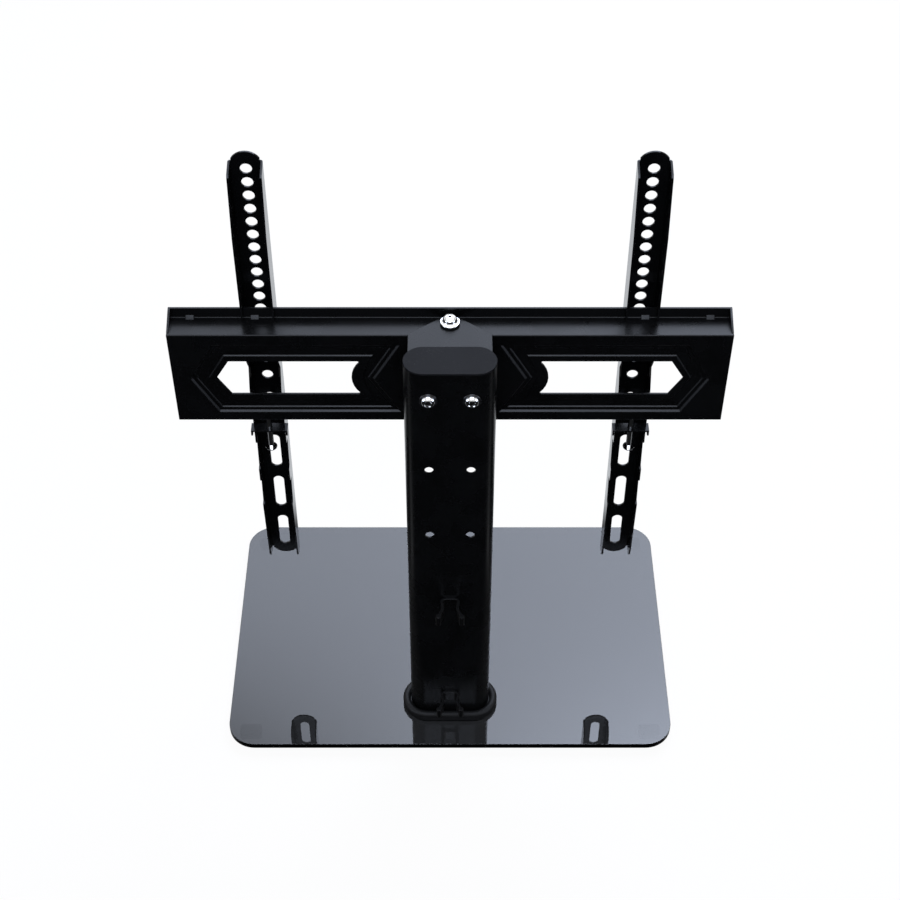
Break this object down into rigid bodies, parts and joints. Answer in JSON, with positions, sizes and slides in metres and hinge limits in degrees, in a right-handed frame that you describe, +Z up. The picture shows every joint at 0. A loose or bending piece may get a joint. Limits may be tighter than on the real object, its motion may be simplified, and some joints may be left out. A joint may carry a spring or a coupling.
{
  "type": "tv stand with mount",
  "caption": "Table-top stand for a flat screen: a column on a glass plate carries a swivelling pressed crossbar with hooked, slotted screw arms that slide along it.",
  "frame": {"origin": "centre of the base on the floor, under the glass plate's middle", "axes": "+X along the crossbar, +Y towards the screen, +Z up"},
  "size_m": [0.44, 0.268, 0.5808],
  "materials": {
    "smoked_glass": "polished, tinted grey-blue",
    "foot_rubber": "matt black",
    "gasket_rubber": "matt black",
    "base_paint": "satin black",
    "column_paint": "semi-gloss black",
    "bracket_paint": "semi-gloss black",
    "bar_paint": "semi-gloss black",
    "arm_paint": "semi-gloss black",
    "plate_paint": "semi-gloss black",
    "collar_plastic": "satin dark grey",
    "cap_plastic": "satin dark grey",
    "clip_plastic": "satin dark grey",
    "washer_plastic": "black",
    "slip_nylon": "natural white",
    "screw_chrome": "bright plated",
    "bolt_chrome": "bright plated",
    "lock_chrome": "bright plated",
    "washer_zinc": "zinc plated",
    "bolt_zinc": "zinc plated"
  },
  "bodies": {
    "stand": {"glass_base": "smoked_glass", "rubber_feet": "foot_rubber", "under_plate": "base_paint", "under_gasket": "gasket_rubber", "foot_gasket": "gasket_rubber", "base_bolts": "bolt_zinc", "column_foot": "base_paint", "foot_collar": "collar_plastic", "column": "column_paint", "column_cap": "cap_plastic", "upper_cable_clip": "clip_plastic", "lower_cable_clip": "clip_plastic", "head_bracket": "bracket_paint", "nut_bar": "bolt_zinc", "height_screws": "screw_chrome", "height_washers": "washer_plastic", "top_pivot_bolt": "bolt_chrome", "top_spring_washer": "washer_zinc", "top_pivot_nut": "bolt_zinc", "bottom_pivot_bolt": "bolt_chrome", "bottom_spring_washer": "washer_zinc", "bottom_pivot_nut": "bolt_zinc", "slip_washers": "slip_nylon"},
    "crossbar": {"crossbar": "bar_paint"},
    "left_arm": {"left_arm": "arm_paint", "left_lock_plate": "plate_paint"},
    "right_arm": {"right_arm": "arm_paint", "right_lock_plate": "plate_paint"},
    "left_lock_screw": {"left_lock_screw": "lock_chrome"},
    "right_lock_screw": {"right_lock_screw": "lock_chrome"}
  },
  "joints": [
    {"name": "swivel", "type": "hinge", "parent": "stand", "child": "crossbar", "pos_m": [0, -0.0385, 0.3909], "axis": [0, 0, 1], "range_deg": [-30, 30]},
    {"name": "left_arm_slide", "type": "slide", "parent": "crossbar", "child": "left_arm", "axis": [-1, 0, 0], "range_m": [-0.05, 0.05]},
    {"name": "right_arm_slide", "type": "slide", "parent": "crossbar", "child": "right_arm", "axis": [1, 0, 0], "range_m": [-0.05, 0.05]},
    {"name": "left_lock_travel", "type": "slide", "parent": "left_arm", "child": "left_lock_screw", "axis": [0, 0, 1], "range_m": [-0.012, 0]},
    {"name": "right_lock_travel", "type": "slide", "parent": "right_arm", "child": "right_lock_screw", "axis": [0, 0, 1], "range_m": [-0.012, 0]}
  ]
}
